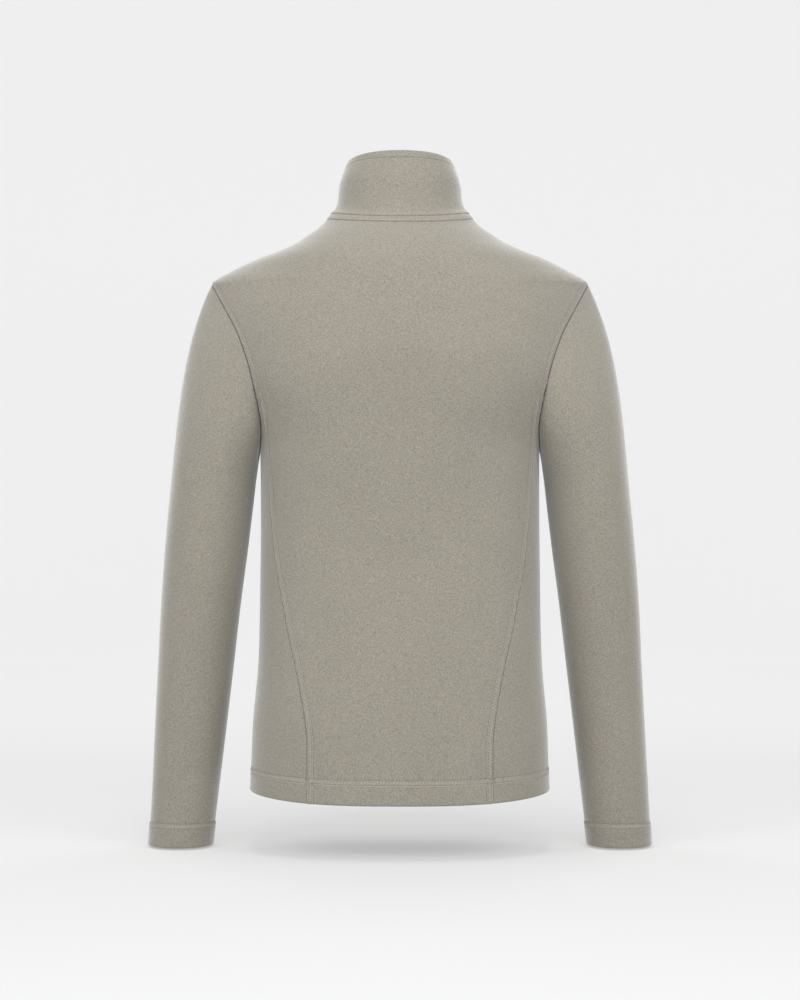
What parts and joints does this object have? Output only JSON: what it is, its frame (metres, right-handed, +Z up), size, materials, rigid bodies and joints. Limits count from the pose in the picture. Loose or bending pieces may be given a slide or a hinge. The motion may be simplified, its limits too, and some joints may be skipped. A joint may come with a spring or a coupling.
{
  "type": "fleece zip jacket",
  "caption": "Stand-collar fleece jacket in its worn, hollow form, with side panels, set-in long sleeves and a full front zip.",
  "frame": {"origin": "middle of the neck base, on the jacket's centre plane, where the wearer's neck and shoulders carry it", "axes": "+Z up along the back, -Y towards the front zip, +X to the wearer's left"},
  "size_m": [0.5838, 0.251, 0.7929],
  "materials": {
    "fleece": "brushed microfleece",
    "zip_tape": "woven polyester tape",
    "zip_teeth": "moulded nylon coil",
    "zip_metal": "die-cast, satin lacquer"
  },
  "bodies": {
    "jacket": {"back": "fleece", "side_left": "fleece", "side_right": "fleece", "front_left": "fleece", "front_right": "fleece", "sleeve_left": "fleece", "sleeve_right": "fleece", "collar": "fleece", "zip_tape_left": "zip_tape", "zip_tape_right": "zip_tape", "zip_chain": "zip_teeth", "zip_box": "zip_metal", "zip_slider": "zip_metal"},
    "pull": {"zip_pull": "zip_metal"}
  },
  "joints": [
    {"name": "pull_swing", "type": "hinge", "parent": "jacket", "child": "pull", "pos_m": [0, -0.08502, 0.03582], "axis": [-1, 0, 0], "range_deg": [0, 160]}
  ]
}
